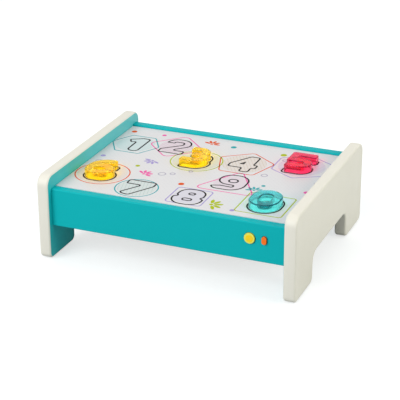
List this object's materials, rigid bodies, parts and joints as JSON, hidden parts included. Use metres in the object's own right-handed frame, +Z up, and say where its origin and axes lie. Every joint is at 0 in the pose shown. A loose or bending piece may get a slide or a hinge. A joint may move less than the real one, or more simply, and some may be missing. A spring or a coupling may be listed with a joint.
{
  "type": "musical activity table",
  "caption": "Low activity table with arched end panels, a lit play surface with a loose card, loose digit blocks and two push buttons that start light and sound.",
  "frame": {"origin": "on the floor below the middle of the table", "axes": "+X along the table's length towards the buttons' end, -Y the front with the buttons, +Z up"},
  "size_m": [0.44, 0.346, 0.1455],
  "materials": {
    "ivory_paint": "satin ivory paint",
    "teal_paint": "satin teal paint",
    "raw_wood": "plain, glued",
    "card_sheet": "printed translucent sheet",
    "opal_sheet": "opal",
    "white_plastic": "matte",
    "black_plastic": "matte",
    "ivory_plastic": "fine texture",
    "rubber_pad": "matte",
    "button_yellow": "gloss",
    "button_orange": "gloss",
    "gel_yellow": "translucent gloss",
    "gel_red": "translucent gloss",
    "gel_teal": "translucent gloss",
    "steel": "zinc plated",
    "spring_steel": "bright wire",
    "magnet_iron": "dark",
    "speaker_paper": "black paper",
    "cell_jacket": "gloss",
    "board_green": "lacquered board",
    "chip_black": "matte",
    "capacitor_can": "satin",
    "lamp_yellow": "clear resin",
    "wire_red": "vinyl",
    "wire_black": "vinyl"
  },
  "bodies": {
    "table": {"left_end_panel": "ivory_paint", "right_end_panel": "ivory_paint", "front_apron": "teal_paint", "rear_apron": "teal_paint", "apron_dowels": "raw_wood", "foot_pads": "rubber_pad", "front_ledge": "raw_wood", "rear_ledge": "raw_wood", "side_ledges": "raw_wood", "front_batten": "raw_wood", "rear_batten": "raw_wood", "side_battens": "raw_wood", "light_panel": "opal_sheet", "reflector_board": "white_plastic", "lamp_strips": "white_plastic", "lamps": "lamp_yellow", "reflector_screws": "steel", "base_board": "ivory_paint", "base_screws": "steel", "melody_spring": "spring_steel", "power_spring": "spring_steel", "button_guide": "white_plastic", "button_guide_screws": "steel", "switch_board": "board_green", "touch_switches": "chip_black", "switch_board_screws": "steel", "speaker_frame": "steel", "speaker_cone": "speaker_paper", "speaker_magnet": "magnet_iron", "speaker_screws": "steel", "battery_box": "black_plastic", "battery_cells": "cell_jacket", "battery_springs": "spring_steel", "battery_plates": "steel", "battery_box_screws": "steel", "sound_board": "board_green", "sound_chip": "chip_black", "board_capacitors": "capacitor_can", "board_sockets": "white_plastic", "board_pillars": "white_plastic", "board_screws": "steel", "battery_wire": "wire_red", "speaker_wire": "wire_red", "button_wire": "wire_black", "lamp_wire": "wire_black"},
    "card": {"activity_card": "card_sheet"},
    "number_zero": {"number_zero": "gel_teal"},
    "number_three": {"number_three": "gel_yellow"},
    "number_five": {"number_five": "gel_red"},
    "number_six": {"number_six": "gel_yellow"},
    "melody_button": {"melody_button": "button_yellow"},
    "power_button": {"power_button": "button_orange"},
    "battery_door": {"battery_door": "ivory_plastic", "battery_door_screw": "steel"}
  },
  "joints": [
    {"name": "card_lift", "type": "slide", "parent": "table", "child": "card", "axis": [0, 0, 1], "range_m": [0, 0.06]},
    {"name": "number_zero_lift", "type": "slide", "parent": "card", "child": "number_zero", "axis": [0, 0, 1], "range_m": [0, 0.04]},
    {"name": "number_three_lift", "type": "slide", "parent": "card", "child": "number_three", "axis": [0, 0, 1], "range_m": [0, 0.04]},
    {"name": "number_five_lift", "type": "slide", "parent": "card", "child": "number_five", "axis": [0, 0, 1], "range_m": [0, 0.04]},
    {"name": "number_six_lift", "type": "slide", "parent": "card", "child": "number_six", "axis": [0, 0, 1], "range_m": [0, 0.04]},
    {"name": "melody_button_press", "type": "slide", "parent": "table", "child": "melody_button", "axis": [0, 1, 0], "range_m": [0, 0.002], "stiffness_N_per_m": 750, "springref_m": -0.001, "deforming": ["melody_spring"]},
    {"name": "power_button_press", "type": "slide", "parent": "table", "child": "power_button", "axis": [0, 1, 0], "range_m": [0, 0.002], "stiffness_N_per_m": 750, "springref_m": -0.001, "deforming": ["power_spring"]},
    {"name": "battery_door_swing", "type": "hinge", "parent": "table", "child": "battery_door", "pos_m": [0.095, 0, 0.06], "axis": [-1, 0, 0], "range_deg": [0, 65]}
  ]
}
